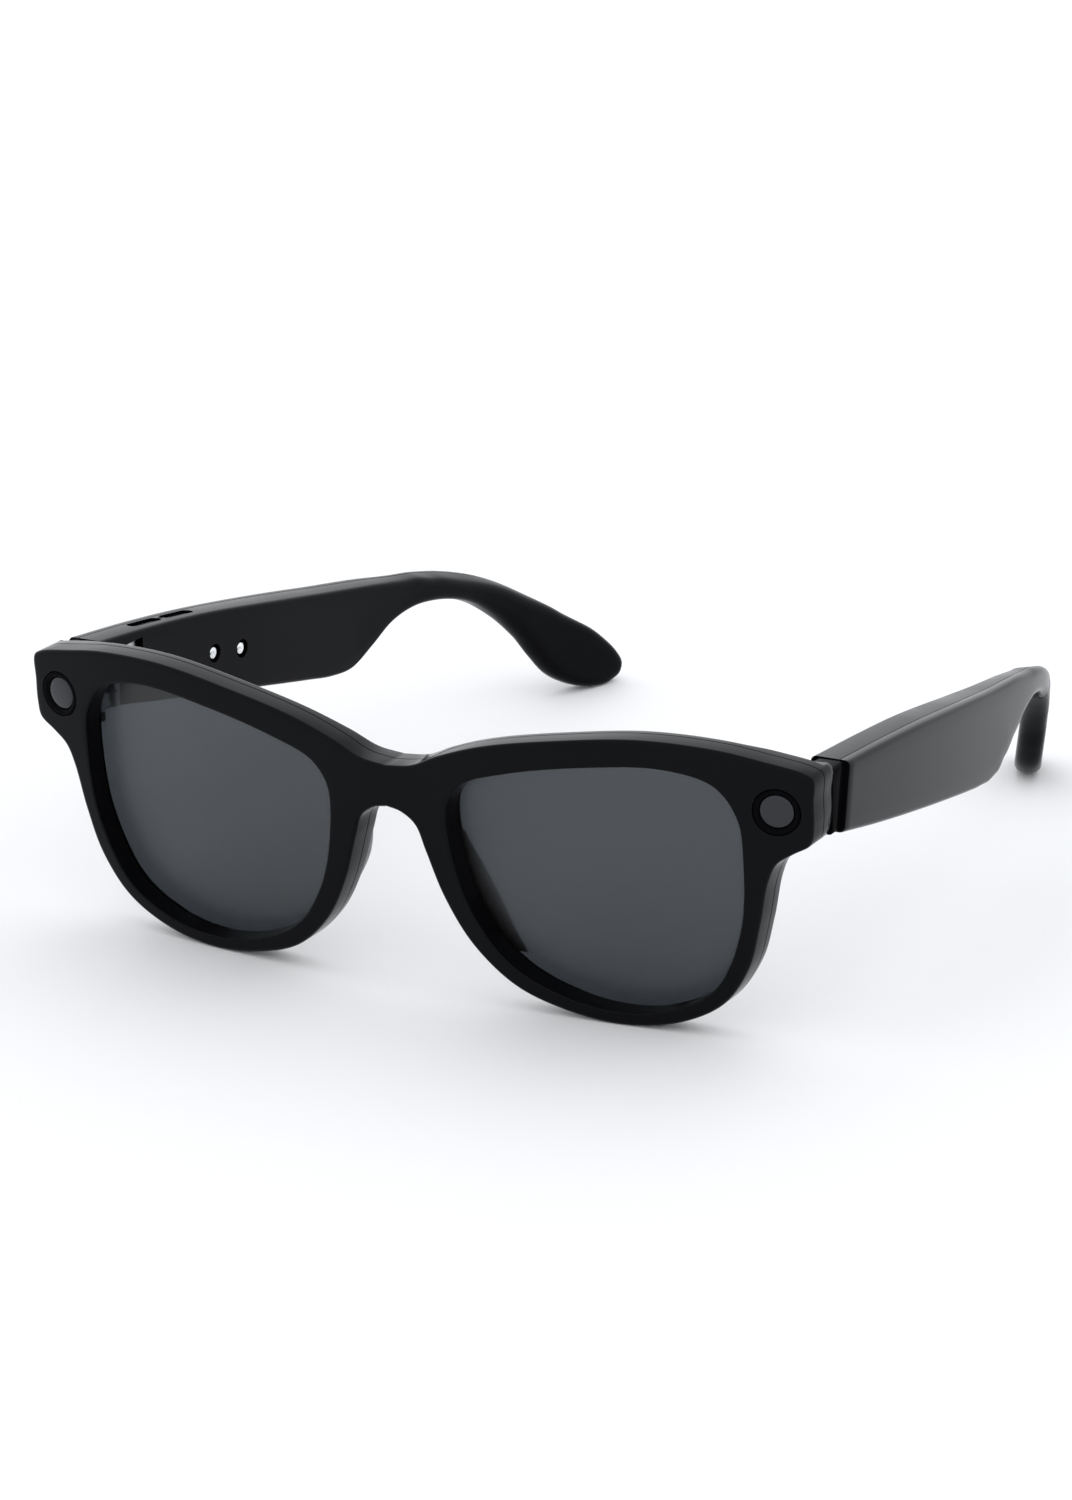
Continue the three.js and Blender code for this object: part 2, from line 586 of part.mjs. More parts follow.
const glasses = new THREE.Group();
for (const part of frontParts()) add(glasses, part);
for (const [side, flip] of [["right", true], ["left", false]]) {
  add(glasses, [`lens_${side}`, lens(), LOOK.lens], flip);
  add(glasses, [`nose_pad_${side}`, nosePad(), LOOK.pad], flip);
  add(glasses, [`hinge_leaf_front_${side}`, hingeFixed(), LOOK.steel], flip);
  add(glasses, [`hinge_pin_${side}`, hingePin(), LOOK.steel], flip);
}
for (const part of rightTempleParts()) add(glasses, part, true);
for (const [name, solid, look] of leftTempleParts()) add(glasses, [name, bent(solid), look]);

export default glasses;
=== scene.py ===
"""Looks of the smart glasses: smooth shells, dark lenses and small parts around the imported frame.

Metres, +Z up, lenses towards -Y, the wearer's right at -X. Lengths below are in millimetres
and turned into metres where a mesh is made.
"""

import math

import bmesh
import bpy
from mathutils import Matrix, Vector


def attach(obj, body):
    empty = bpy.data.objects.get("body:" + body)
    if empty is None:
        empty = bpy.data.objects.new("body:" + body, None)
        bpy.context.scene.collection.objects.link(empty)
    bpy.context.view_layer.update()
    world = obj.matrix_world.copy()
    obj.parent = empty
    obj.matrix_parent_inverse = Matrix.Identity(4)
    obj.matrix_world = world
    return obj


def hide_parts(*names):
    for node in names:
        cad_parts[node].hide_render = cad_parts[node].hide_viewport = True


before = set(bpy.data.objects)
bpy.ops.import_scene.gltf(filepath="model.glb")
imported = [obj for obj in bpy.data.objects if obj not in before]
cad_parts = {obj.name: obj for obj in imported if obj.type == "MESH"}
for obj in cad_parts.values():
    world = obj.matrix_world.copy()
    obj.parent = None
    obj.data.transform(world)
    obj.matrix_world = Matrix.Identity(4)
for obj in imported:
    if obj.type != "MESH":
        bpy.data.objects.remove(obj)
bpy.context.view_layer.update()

MM = 0.001
MIDDLE_Y = 86.65  # from the front's face at the middle to the frame's origin

# ---- the front's curved face ----
WRAP = 0.00137
END_WRAP = 0.162
LEAN = 0.071
BULGE = 0.84
FACE_HEIGHT = 40
RIM_DEPTH = 6.2
BRIDGE_EXTRA = 1.6
SEAM_DEPTH = 4.12
SEAM_GAP = 0.06
LENS_START = 4.3
LENS_THICKNESS = 1.1
LENS_LIP = 1
EYE_X = 68.2
EYE_Z = 42.3
EYE_RADIUS = 3.9
EYE_GLASS_RADIUS = 2.9
BLOCK_INNER_X = 64.5
BLOCK_REAR_Y = 15.6
HINGE_SLOT_FRONT_Y = 12.4
HINGE_SLOT_OUTER_X = 67.4
HINGE_SLOT_HEIGHTS = (36.9, 46.5)
LENS_CENTRE = (37, 28)
FACE_FILLET = 0.6
OPENING_FILLET = 0.32
SEAM_FILLET = 0.1
REAR_FILLET = 0.9

# Half the front's outline and one opening: x, z.
HALF_OUTLINE = [
    (0, 41.9), (4.8, 42.6), (10, 45), (18, 47.8), (30, 50.3), (45, 52.3), (58, 52), (66, 50.7),
    (72.6, 49.2), (74, 48.2), (74, 44), (74, 40), (73.4, 37), (70.4, 35), (67.8, 33), (66.3, 29.6),
    (64.6, 21.6), (62.2, 13.4), (57.3, 6.2), (49, 1.6), (39, 0), (29, 1.4), (20.9, 4.6), (14, 11.2),
    (9.5, 19.4), (6.7, 27.6), (5.1, 32), (2.6, 33.9), (0, 34.5),
]
OPENING = [
    (49.5, 47.7), (58, 45.7), (61.7, 40.6), (62.5, 33), (61.4, 20.3), (56.3, 9), (48, 3.9),
    (39.5, 2.5), (30, 3.9), (20.4, 8.9), (14.3, 17.9), (11.5, 28.5), (11.4, 36.5), (14.3, 40.6),
    (22, 43.5), (35, 46.3),
]

# ---- temples ----
COVER_THICKNESS = 1.9
TEMPLE_THICKNESS = 7
TIP_THINNING = 1.6
TIP_CURL = 7.2
CURL_HEIGHT = 33
COVER_END = 0.62
STRIP_GAP = 0.3
LEAF_POCKET = ((66, 12, 38), (70.4, 32.6, 45.4))
BENT_FORWARD = 9
BENT_OUT = 0.8
TWIST = 0.2
KEY_CENTRES_Y = (38, 47.8)
KEY_LENGTH = 8.4
KEY_WIDTH = 1.9
KEY_SLOT_DEPTH = 1.8
LAMP_Y = 42.9
SPEAKER_MOUTH_Y = 84
CONTACTS = ((54.4, 36.3), (62.8, 34.9))
CONTACT_RADIUS = 1.2
# Matching points along a temple's upper and lower edges: y, z.
TEMPLE_TOP = [
    (20.4, 47.9), (36, 46.4), (52, 44.5), (68, 42.2), (82, 40), (91, 38.5), (99, 37.3), (107, 36.1),
    (114.8, 34.8), (123, 33.7), (131.4, 32), (139.8, 29.5), (147.7, 26), (155.5, 21), (162.9, 15.4),
    (168.8, 10.2), (172.2, 6.3), (173.4, 3.4), (172.2, 0.9),
]
TEMPLE_BOTTOM = [
    (18.4, 36.2), (34, 32.8), (52, 29.1), (70, 25.5), (84, 22.7), (92.5, 21.1), (98.5, 20.9),
    (104.4, 23.3), (111, 26.4), (119, 27.8), (127.9, 27), (136.9, 24.1), (144.2, 19.2),
    (149.5, 13.8), (153, 8.8), (156.4, 4.6), (160.6, 1.8), (165, 0.3), (169.6, 0),
]
# How much shorter a temple is at its lower outer edge and its upper inner edge: y, distance.
OUTER_LIFT = [
    (20, 0), (70, 0), (80, 0.05), (86, 0.3), (93, 1.1), (99, 2.6), (105, 2.4), (112, 1.4),
    (120, 0.5), (130, 0),
]
INNER_DROP = [
    (50, 0), (85, 0.5), (113, 0.8), (121, 1.1), (128, 1.8), (138, 2.4), (150, 2.2), (160, 1.2), (168, 0),
]


# ---- curves ----
def spline(points, closed=False):
    """A centripetal curve through points: a function of t from 0 to 1."""
    count = len(points)

    def point(index):
        if closed:
            return Vector(points[index % count])
        if index < 0:
            return 2 * Vector(points[0]) - Vector(points[1])
        if index >= count:
            return 2 * Vector(points[-1]) - Vector(points[-2])
        return Vector(points[index])

    def at(t):
        place = t * (count if closed else count - 1)
        index = min(int(place), count - 1 if closed else count - 2)
        weight = place - index
        a, b, c, d = (point(index + k) for k in (-1, 0, 1, 2))
        d0, d1, d2 = (max((q - p).length, 1e-6) ** 0.5 for p, q in ((a, b), (b, c), (c, d)))
        t1 = ((b - a) / d0 - (c - a) / (d0 + d1) + (c - b) / d1) * d1
        t2 = ((c - b) / d1 - (d - b) / (d1 + d2) + (d - c) / d2) * d1
        w2, w3 = weight * weight, weight ** 3
        return b + t1 * weight + (3 * (c - b) - 2 * t1 - t2) * w2 + (2 * (b - c) + t1 + t2) * w3

    return at


def sampled(points, count, closed=False):
    curve = spline(points, closed)
    return [curve(i / count) for i in range(count if closed else count + 1)]


def smoothstep(value, low, high):
    share = min(max((value - low) / (high - low), 0), 1)
    return share * share * (3 - 2 * share)


def mix(a, b, share):
    return a + (b - a) * share


def front_y(x, z):
    rise = (z - FACE_HEIGHT) / 20
    return WRAP * x * x + END_WRAP * (x / 50) ** 4 - LEAN * (z - FACE_HEIGHT) + BULGE * rise * rise


def on_front(point, depth):
    x, z = point
    return (x, front_y(x, z) + depth - MIDDLE_Y, z)


def rear_depth(x):
    return RIM_DEPTH + BRIDGE_EXTRA * math.exp(-((x / 12) ** 2))


# ---- meshes ----
def mesh_object(name, points, faces, scale=MM):
    mesh = bpy.data.meshes.new(name)
    mesh.from_pydata([Vector(p) * scale for p in points], [], faces)
    piece = bpy.data.objects.new(name, mesh)
    bpy.context.scene.collection.objects.link(piece)
    tidy_mesh(piece)
    return piece


def tidy_mesh(piece, merge=2e-6):
    """Joins doubled points and makes every face look outwards."""
    work = bmesh.new()
    work.from_mesh(piece.data)
    bmesh.ops.remove_doubles(work, verts=work.verts, dist=merge)
    bmesh.ops.dissolve_degenerate(work, edges=work.edges, dist=merge)
    bmesh.ops.recalc_face_normals(work, faces=work.faces)
    work.to_mesh(piece.data)
    work.free()


def loft_faces(rows, count, ring=False):
    """Faces of a body from rows of equal length, each row a closed loop."""
    faces = []
    for i in range(rows if ring else rows - 1):
        a = i * count
        b = ((i + 1) % rows) * count
        for k in range(count):
            n = (k + 1) % count
            faces.append((a + k, a + n, b + n, b + k))
    if not ring:
        faces.append(tuple(range(count))[::-1])
        faces.append(tuple(range((rows - 1) * count, rows * count)))
    return faces


def loft(name, rows, ring=False):
    points = [p for row in rows for p in row]
    return mesh_object(name, points, loft_faces(len(rows), len(rows[0]), ring))


def mirror_whole(piece):
    """Adds the other half across the middle plane and drops the faces on it."""
    work = bmesh.new()
    work.from_mesh(piece.data)
    inside = [f for f in work.faces if all(abs(v.co.x) < 1e-6 for v in f.verts)]
    bmesh.ops.delete(work, geom=inside, context="FACES")
    copy = bmesh.ops.duplicate(work, geom=work.verts[:] + work.edges[:] + work.faces[:])["geom"]
    for item in copy:
        if isinstance(item, bmesh.types.BMVert):
            item.co.x = -item.co.x
    work.to_mesh(piece.data)
    work.free()
    tidy_mesh(piece)
    return piece


def flipped(piece):
    """Mirrors a piece made at +X to the wearer's right."""
    for vertex in piece.data.vertices:
        vertex.co.x = -vertex.co.x
    tidy_mesh(piece)
    return piece


def smooth(piece, angle=32):
    piece.data.shade_smooth()
    piece.data.set_sharp_from_angle(angle=math.radians(angle))


def apply_modifiers(piece):
    bpy.context.view_layer.update()
    graph = bpy.context.evaluated_depsgraph_get()
    mesh = bpy.data.meshes.new_from_object(piece.evaluated_get(graph))
    piece.modifiers.clear()
    piece.data = mesh


def cut(piece, tool, operation="DIFFERENCE"):
    """A boolean with another piece, which is used up."""
    change = piece.modifiers.new("cut", "BOOLEAN")
    change.operation = operation
    change.solver = "EXACT"
    change.object = tool
    apply_modifiers(piece)
    bpy.data.objects.remove(tool)
    tidy_mesh(piece, 1e-6)
    return piece


# ---- materials ----
def material(name, colour, roughness, **sockets):
    made = bpy.data.materials.new(name)
    made.use_nodes = True
    shader = made.node_tree.nodes["Principled BSDF"]
    shader.inputs["Base Color"].default_value = (*colour, 1)
    shader.inputs["Roughness"].default_value = roughness
    for key, value in sockets.items():
        shader.inputs[key.replace("_", " ")].default_value = value
    return made


def link(made, source, target):
    made.node_tree.links.new(source, target)


def noise(made, scale, detail=3, stretch=(1, 1, 1)):
    """Noise in the piece's own coordinates."""
    nodes = made.node_tree.nodes
    place = nodes.new("ShaderNodeTexCoord")
    mapping = nodes.new("ShaderNodeMapping")
    mapping.inputs["Scale"].default_value = stretch
    texture = nodes.new("ShaderNodeTexNoise")
    texture.inputs["Scale"].default_value = scale
    texture.inputs["Detail"].default_value = detail
    link(made, place.outputs["Object"], mapping.inputs["Vector"])
    link(made, mapping.outputs["Vector"], texture.inputs["Vector"])
    return texture.outputs["Fac"]


def spread(made, source, low, high, start=0.3, end=0.7):
    ranged = made.node_tree.nodes.new("ShaderNodeMapRange")
    ranged.inputs["From Min"].default_value = start
    ranged.inputs["From Max"].default_value = end
    ranged.inputs["To Min"].default_value = low
    ranged.inputs["To Max"].default_value = high
    link(made, source, ranged.inputs["Value"])
    return ranged.outputs["Result"]


def tinted(made, source, low, high, start=0.3, end=0.7):
    ramp = made.node_tree.nodes.new("ShaderNodeValToRGB")
    ramp.color_ramp.elements[0].position = start
    ramp.color_ramp.elements[0].color = (*low, 1)
    ramp.color_ramp.elements[1].position = end
    ramp.color_ramp.elements[1].color = (*high, 1)
    link(made, source, ramp.inputs["Fac"])
    link(made, ramp.outputs["Color"], made.node_tree.nodes["Principled BSDF"].inputs["Base Color"])


def bumped(made, source, strength, distance):
    bump = made.node_tree.nodes.new("ShaderNodeBump")
    bump.inputs["Strength"].default_value = strength
    bump.inputs["Distance"].default_value = distance
    link(made, source, bump.inputs["Height"])
    link(made, bump.outputs["Normal"], made.node_tree.nodes["Principled BSDF"].inputs["Normal"])


COOL = (0.9, 0.94, 1, 1)  # the plastics' reflections are slightly blue


def plastic(name, dark, light, smooth_to, rough_to, specular, grain=2600, depth=0.000012, bump=0.12):
    """Moulded plastic: faint colour drift, uneven gloss and a very fine grain."""
    made = material(name, dark, smooth_to, Specular_IOR_Level=specular, Specular_Tint=COOL)
    shader = made.node_tree.nodes["Principled BSDF"]
    tinted(made, noise(made, 38), dark, light)
    link(made, spread(made, noise(made, 75, 4), smooth_to, rough_to), shader.inputs["Roughness"])
    bumped(made, noise(made, grain, 2), bump, depth)
    return made


def metal(name, dark, light, low, high, stretch=(1, 1, 1), grain=900):
    made = material(name, dark, low, Metallic=1)
    shader = made.node_tree.nodes["Principled BSDF"]
    tinted(made, noise(made, 140, 3), dark, light)
    brushed = noise(made, grain, 3, stretch)
    link(made, spread(made, brushed, low, high), shader.inputs["Roughness"])
    bumped(made, brushed, 0.15, 0.00002)
    return made


def lens_material():
    """Dark grey tinted lens: see-through, with a soft veil instead of a sharp reflection."""
    made = material("tinted_lens", (0.043, 0.049, 0.0555), 0.015, IOR=1.05)
    shader = made.node_tree.nodes["Principled BSDF"]
    shader.inputs["Transmission Weight"].default_value = 1
    shader.inputs["Specular IOR Level"].default_value = 0.05
    shader.inputs["Coat Weight"].default_value = 1
    shader.inputs["Coat Roughness"].default_value = 0.45
    tinted(made, noise(made, 22, 2), (0.040, 0.0455, 0.0515), (0.046, 0.0525, 0.059))
    link(made, spread(made, noise(made, 160, 4), 0.008, 0.03), shader.inputs["Roughness"])
    return made


def board_material():
    made = material("board", (0.03, 0.12, 0.06), 0.5)
    cells = made.node_tree.nodes.new("ShaderNodeTexVoronoi")
    cells.inputs["Scale"].default_value = 700
    cells.distance = "MANHATTAN"
    place = made.node_tree.nodes.new("ShaderNodeTexCoord")
    link(made, place.outputs["Object"], cells.inputs["Vector"])
    tinted(made, cells.outputs["Distance"], (0.02, 0.09, 0.045), (0.05, 0.2, 0.1), 0.2, 0.6)
    bumped(made, cells.outputs["Distance"], 0.3, 0.00005)
    return made


GLOSS = plastic("gloss_frame", (0.0012, 0.0012, 0.0016), (0.002, 0.002, 0.0027), 0.1, 0.16, 0.085)
COVER = plastic("temple_gloss", (0.0014, 0.0015, 0.0019), (0.0022, 0.0023, 0.003), 0.16, 0.22, 0.098)
INSIDE = plastic("temple_inside", (0.0012, 0.0012, 0.0016), (0.002, 0.002, 0.0027), 0.18, 0.25, 0.055)
TRIM = plastic("black_trim", (0.0016, 0.0016, 0.002), (0.003, 0.003, 0.0034), 0.1, 0.16, 0.015)
PAD = plastic("soft_pad", (0.10, 0.106, 0.118), (0.15, 0.157, 0.17), 0.3, 0.42, 0.3, 1800, 0.00002, 0.2)
KEY = plastic("key_black", (0.0012, 0.0012, 0.0015), (0.002, 0.002, 0.0024), 0.3, 0.4, 0.03)
GLASS = plastic("dark_glass", (0.004, 0.0045, 0.0055), (0.006, 0.0068, 0.008), 0.02, 0.05, 0.5,
                300, 0.000004, 0.05)
LENS = lens_material()
STEEL = metal("hinge_steel", (0.42, 0.42, 0.43), (0.6, 0.6, 0.61), 0.2, 0.38, (1, 1, 9))
CONTACT = metal("contact_metal", (0.72, 0.73, 0.75), (0.86, 0.87, 0.88), 0.14, 0.26)
CAN = metal("metal_can", (0.36, 0.37, 0.39), (0.5, 0.51, 0.53), 0.3, 0.48, (9, 1, 1))
BOARD = board_material()
FLEX = plastic("flex", (0.22, 0.09, 0.025), (0.34, 0.15, 0.045), 0.35, 0.5, 0.5, 900, 0.00003, 0.3)
SLOTS = {
    "gloss_frame": GLOSS, "black_trim": TRIM, "soft_pad": PAD, "tinted_lens": LENS, "dark_glass": GLASS,
    "contact_metal": CONTACT,
}


def finish_piece(piece, body, slot, nodes=(), look=None, angle=32):
    """Material, smooth shading, the body it rides on and the CAD nodes it stands for."""
    piece.data.materials.clear()
    piece.data.materials.append(look or SLOTS[slot])
    smooth(piece, angle)
    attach(piece, body)
    if nodes:
        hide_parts(*nodes)
    return piece


# ---- the front ----
def meet(outline, direction):
    """Where the ray from the lens centre meets a closed outline."""
    best = None
    for a, b in zip(outline, outline[1:] + outline[:1]):
        edge = (b[0] - a[0], b[1] - a[1])
        det = edge[0] * direction[1] - edge[1] * direction[0]
        if abs(det) < 1e-9:
            continue
        dx, dz = LENS_CENTRE[0] - a[0], LENS_CENTRE[1] - a[1]
        along = (dx * direction[1] - dz * direction[0]) / det
        reach = (dx * edge[1] - dz * edge[0]) / det
        if -1e-9 <= along <= 1 + 1e-9 and reach > 0 and (best is None or reach < best):
            best = reach
    return Vector((LENS_CENTRE[0] + direction[0] * best, LENS_CENTRE[1] + direction[1] * best))


def rim_stations():
    """Points round one half of the front, each with its outward normal and its point on the opening."""
    outline = [Vector(p) for p in sampled(HALF_OUTLINE, 28 * 9)]
    outline[0].x = outline[-1].x = 0
    opening = sampled(OPENING, 480, True)
    side = [Vector((0, mix(34.5, 41.9, k / 8))) for k in range(1, 8)]
    stations = []
    for i, point in enumerate(outline):
        before = outline[i - 1] if i else Vector((-outline[1].x, outline[1].y))
        after = outline[i + 1] if i + 1 < len(outline) else Vector((-outline[-2].x, outline[-2].y))
        run = (after - before).normalized()
        stations.append([point, Vector((-run.y, run.x)), 1])
    stations += [[point, Vector((0, 0)), 0] for point in side]
    for station in stations:
        away = (station[0] - Vector(LENS_CENTRE)).normalized()
        inner = meet(opening, away)
        step = 0.02
        turn = Matrix.Rotation(step, 2)
        near = meet(opening, turn @ away) - meet(opening, turn.inverted() @ away)
        normal = Vector((near.y, -near.x)).normalized()
        if normal.dot(away) < 0:
            normal = -normal
        station += [inner, normal]
    return stations


STATIONS = rim_stations()


def outer_row(inset, depth):
    """The outline pushed in by a distance, at a depth."""
    row = []
    for point, normal, share, _, _ in STATIONS:
        reach = inset(point.x) if callable(inset) else inset
        row.append(on_front(point - normal * reach * share, depth(point.x) if callable(depth) else depth))
    return row


def inner_row(inset, depth):
    """The opening pushed out into the rim by a distance, at a depth."""
    row = []
    for _, _, _, point, normal in STATIONS:
        row.append(on_front(point + normal * inset, depth(point.x) if callable(depth) else depth))
    return row


def between_rows(outer_inset, inner_inset, depth, count):
    """Rows that fill the band between the outline and the opening."""
    rows = []
    for step in range(1, count):
        row = []
        for point, normal, share, inner, inner_normal in STATIONS:
            reach = outer_inset(point.x) if callable(outer_inset) else outer_inset
            a = point - normal * reach * share
            b = inner + inner_normal * inner_inset
            place = a.lerp(b, step / count)
            row.append(on_front(place, depth(place.x) if callable(depth) else depth))
        rows.append(row)
    return rows


def fillet(radius, steps=5):
    """Inset and depth of a rounded edge, from the side to the face."""
    turns = [math.pi / 2 * i / steps for i in range(steps + 1)]
    return [(radius * (1 - math.cos(t)), radius * (1 - math.sin(t))) for t in turns]


def eye_matrix(side):
    """The place and direction of the camera's bore (side -1) or the light's (side 1)."""
    step = 0.01
    slope_x = (front_y(EYE_X + step, EYE_Z) - front_y(EYE_X, EYE_Z)) / step
    slope_z = (front_y(EYE_X, EYE_Z + step) - front_y(EYE_X, EYE_Z)) / step
    inward = Vector((-slope_x * side, 1, -slope_z)).normalized()
    turn = Vector((0, 1, 0)).rotation_difference(inward).to_matrix().to_4x4()
    x, y, z = on_front((EYE_X, EYE_Z), 0)
    return Matrix.Translation(Vector((x * side, y, z)) * MM) @ turn


def turned(name, profile, matrix, steps=96, ring=False):
    """A body turned about the local Y axis from (radius, depth) points."""
    rows = []
    for radius, depth in profile:
        row = [(radius * math.cos(a), depth, radius * math.sin(a))
               for a in (2 * math.pi * i / steps for i in range(steps))]
        rows.append(row)
    piece = loft(name, rows, ring)
    piece.data.transform(matrix)
    tidy_mesh(piece)
    return piece


def plug(matrix, radius, start, end, steps=96):
    return turned("tool", [(radius, start), (radius, end)], matrix, steps)


def front_frame():
    """The shell in front of the seam, with its rounded openings and the two round seats."""
    rows = [outer_row(SEAM_FILLET, SEAM_DEPTH), outer_row(0, SEAM_DEPTH - SEAM_FILLET)]
    rows += [outer_row(inset, depth) for inset, depth in fillet(FACE_FILLET)]
    rows += between_rows(FACE_FILLET, OPENING_FILLET, 0, 9)
    rows += [inner_row(inset, depth) for inset, depth in reversed(fillet(OPENING_FILLET, 4))]
    rows += [inner_row(-0.1, SEAM_DEPTH)]
    rows += between_rows(0.1, -0.1, SEAM_DEPTH, 6)[::-1]
    piece = mirror_whole(loft("front_shell", rows, True))
    for side in (-1, 1):
        seat = [(EYE_RADIUS + 0.14, 4), (EYE_RADIUS + 0.14, 0.12), (EYE_RADIUS + 0.32, -0.06),
                (EYE_RADIUS + 0.32, -2)]
        cut(piece, turned("tool", seat, eye_matrix(side)))
    finish_piece(piece, "front", "gloss_frame", ["front_frame"])


def end_block():
    """The block behind an endpiece, flush with the rim's side."""
    side = [point - normal * 0.02 for point, normal, share, _, _ in STATIONS
            if share and point.x > 66 and 35.1 < point.y < 48.95]
    shape = [Vector((BLOCK_INNER_X, 48.3))] + side + [Vector((BLOCK_INNER_X, 35.5))]
    middle = Vector((69, 42))
    rear = BLOCK_REAR_Y - MIDDLE_Y
    rows = [[on_front(p, SEAM_DEPTH + 0.9) for p in shape]]
    for share, back in ((0, 0.15), (0.008, 0.04), (0.02, 0)):
        rows.append([(mix(p.x, middle.x, share), rear - back, mix(p.y, middle.y, share)) for p in shape])
    return loft("tool", rows)


def box_tool(low, high):
    xs, ys, zs = zip(low, high)
    points = [(x, y, z) for x in xs for y in ys for z in zs]
    faces = [(0, 1, 3, 2), (4, 6, 7, 5), (0, 4, 5, 1), (2, 3, 7, 6), (0, 2, 6, 4), (1, 5, 7, 3)]
    return mesh_object("tool", points, faces)


def roundness(x):
    """How round the rear edge is: nearly square where the hinge block joins."""
    return mix(1, 0.02, smoothstep(x, 60, 66))


def lip(x):
    """Depth of the lens pocket's back edge."""
    return rear_depth(x) - 0.5


def hinge_slot():
    """The space that the hinge leaves sit in, open at the back."""
    low = [BLOCK_INNER_X - 2, HINGE_SLOT_FRONT_Y - MIDDLE_Y, HINGE_SLOT_HEIGHTS[0]]
    high = [HINGE_SLOT_OUTER_X, BLOCK_REAR_Y + 1 - MIDDLE_Y, HINGE_SLOT_HEIGHTS[1]]
    return box_tool(low, high)


def rear_frame():
    """The shell behind the seam, with its lens pockets and hinge blocks."""
    start = SEAM_DEPTH + SEAM_GAP
    rows = [outer_row(SEAM_FILLET, start), outer_row(0, start + SEAM_FILLET)]
    for inset, depth in fillet(REAR_FILLET):
        rows.append(outer_row(lambda x, i=inset: i * roundness(x),
                              lambda x, d=depth: rear_depth(x) - d * roundness(x)))
    rows += between_rows(lambda x: REAR_FILLET * roundness(x), 1.4, rear_depth, 6)
    rows += [inner_row(1.25, rear_depth), inner_row(0.8, lambda x: rear_depth(x) - 0.2)]
    rows += [inner_row(0.6, lip)]
    rows += [inner_row(LENS_LIP + 0.3, lip), inner_row(LENS_LIP + 0.3, start)]
    rows += between_rows(0.1, LENS_LIP + 0.3, start, 5)[::-1]
    piece = mirror_whole(loft("rear_shell", rows, True))
    for side in (1, -1):
        for tool, operation in ((end_block(), "UNION"), (hinge_slot(), "DIFFERENCE")):
            if side < 0:
                flipped(tool)
            cut(piece, tool, operation)
        cut(piece, plug(eye_matrix(side), EYE_GLASS_RADIUS + 0.3, -1, 5.7, 48))
    finish_piece(piece, "front", "gloss_frame", ["rear_frame"])


def lens_piece(side):
    """A thin curved lens with a ground edge under the bezel."""
    rim = [inner + normal * LENS_LIP for _, _, _, inner, normal in STATIONS]
    centre = Vector(LENS_CENTRE)
    shares = [0.03] + [i / 12 for i in range(1, 12)] + [0.985]
    front_rows = [[on_front(centre.lerp(p, share), LENS_START) for p in rim] for share in shares]
    edge = [[on_front(p, LENS_START + 0.12) for p in rim],
            [on_front(p, LENS_START + LENS_THICKNESS - 0.12) for p in rim]]
    back_rows = [[on_front(centre.lerp(p, share), LENS_START + LENS_THICKNESS) for p in rim]
                 for share in reversed(shares)]
    piece = loft("lens_glass_" + side, front_rows + edge + back_rows)
    if side == "right":
        flipped(piece)
    finish_piece(piece, "front", "tinted_lens", ["lens_" + side], angle=40)


def nose_pad(side):
    """A soft pad behind the nose side of a rim, lofted through rounded sections."""
    edge = [(6.7, 29.6, 0.5), (6.9, 28.4, 1.5), (7.9, 25, 3.4), (9.4, 21, 4.6), (11.4, 17, 4.5),
            (13.8, 13, 3.2), (16.2, 9.8, 1.3), (17, 8.9, 0.4)]
    run = spline([(x, z) for x, z, _ in edge])
    reach_run = spline([(i, reach) for i, (_, _, reach) in enumerate(edge)])
    rows = []
    for i in range(41):
        share = i / 40
        x, z = run(share)
        reach = max(reach_run(share)[1], 0.3)
        start = front_y(x, z) + rear_depth(x) - 0.3 - MIDDLE_Y
        row = []
        for k in range(20):
            turn = 2 * math.pi * k / 20
            width = math.copysign(abs(math.cos(turn)) ** 0.7, math.cos(turn))
            height = math.copysign(abs(math.sin(turn)) ** 0.75, math.sin(turn))
            tall = reach * (height + 1) / 2
            lean = tall * 0.12
            row.append((x + 2.35 + 1.55 * width * (1 - 0.25 * max(height, 0)) - 0.3 * max(height, 0),
                        start + tall, z - lean))
        rows.append(row)
    piece = loft("nose_rest_" + side, rows)
    if side == "right":
        flipped(piece)
    finish_piece(piece, "front", "soft_pad", ["nose_pad_" + side], angle=60)


def eye_ring(side, prefix):
    """A bevelled trim ring with a step down to its glass."""
    outer, inner = EYE_RADIUS, EYE_GLASS_RADIUS
    profile = [(outer, 1.5), (outer, 0.22), (outer - 0.07, 0.1), (outer - 0.22, 0.05),
               (inner + 0.42, 0.05), (inner + 0.3, 0.12), (inner + 0.1, 0.42), (inner, 0.55), (inner, 1.5)]
    piece = turned(prefix + "_trim", profile, eye_matrix(side), ring=True)
    finish_piece(piece, "front", "black_trim", [prefix + "_ring"], angle=50)
    glass = [(0.02, 0.18), (1, 0.2), (1.8, 0.25), (2.4, 0.33), (inner - 0.12, 0.43),
             (inner - 0.04, 0.5), (inner - 0.04, 1.1), (0.02, 1.1)]
    window = turned(prefix + "_cover_glass", glass, eye_matrix(side))
    finish_piece(window, "front", "dark_glass", [prefix + "_window"], angle=50)


# ---- temples ----
TOP_EDGE = spline(TEMPLE_TOP)
BOTTOM_EDGE = spline(TEMPLE_BOTTOM)


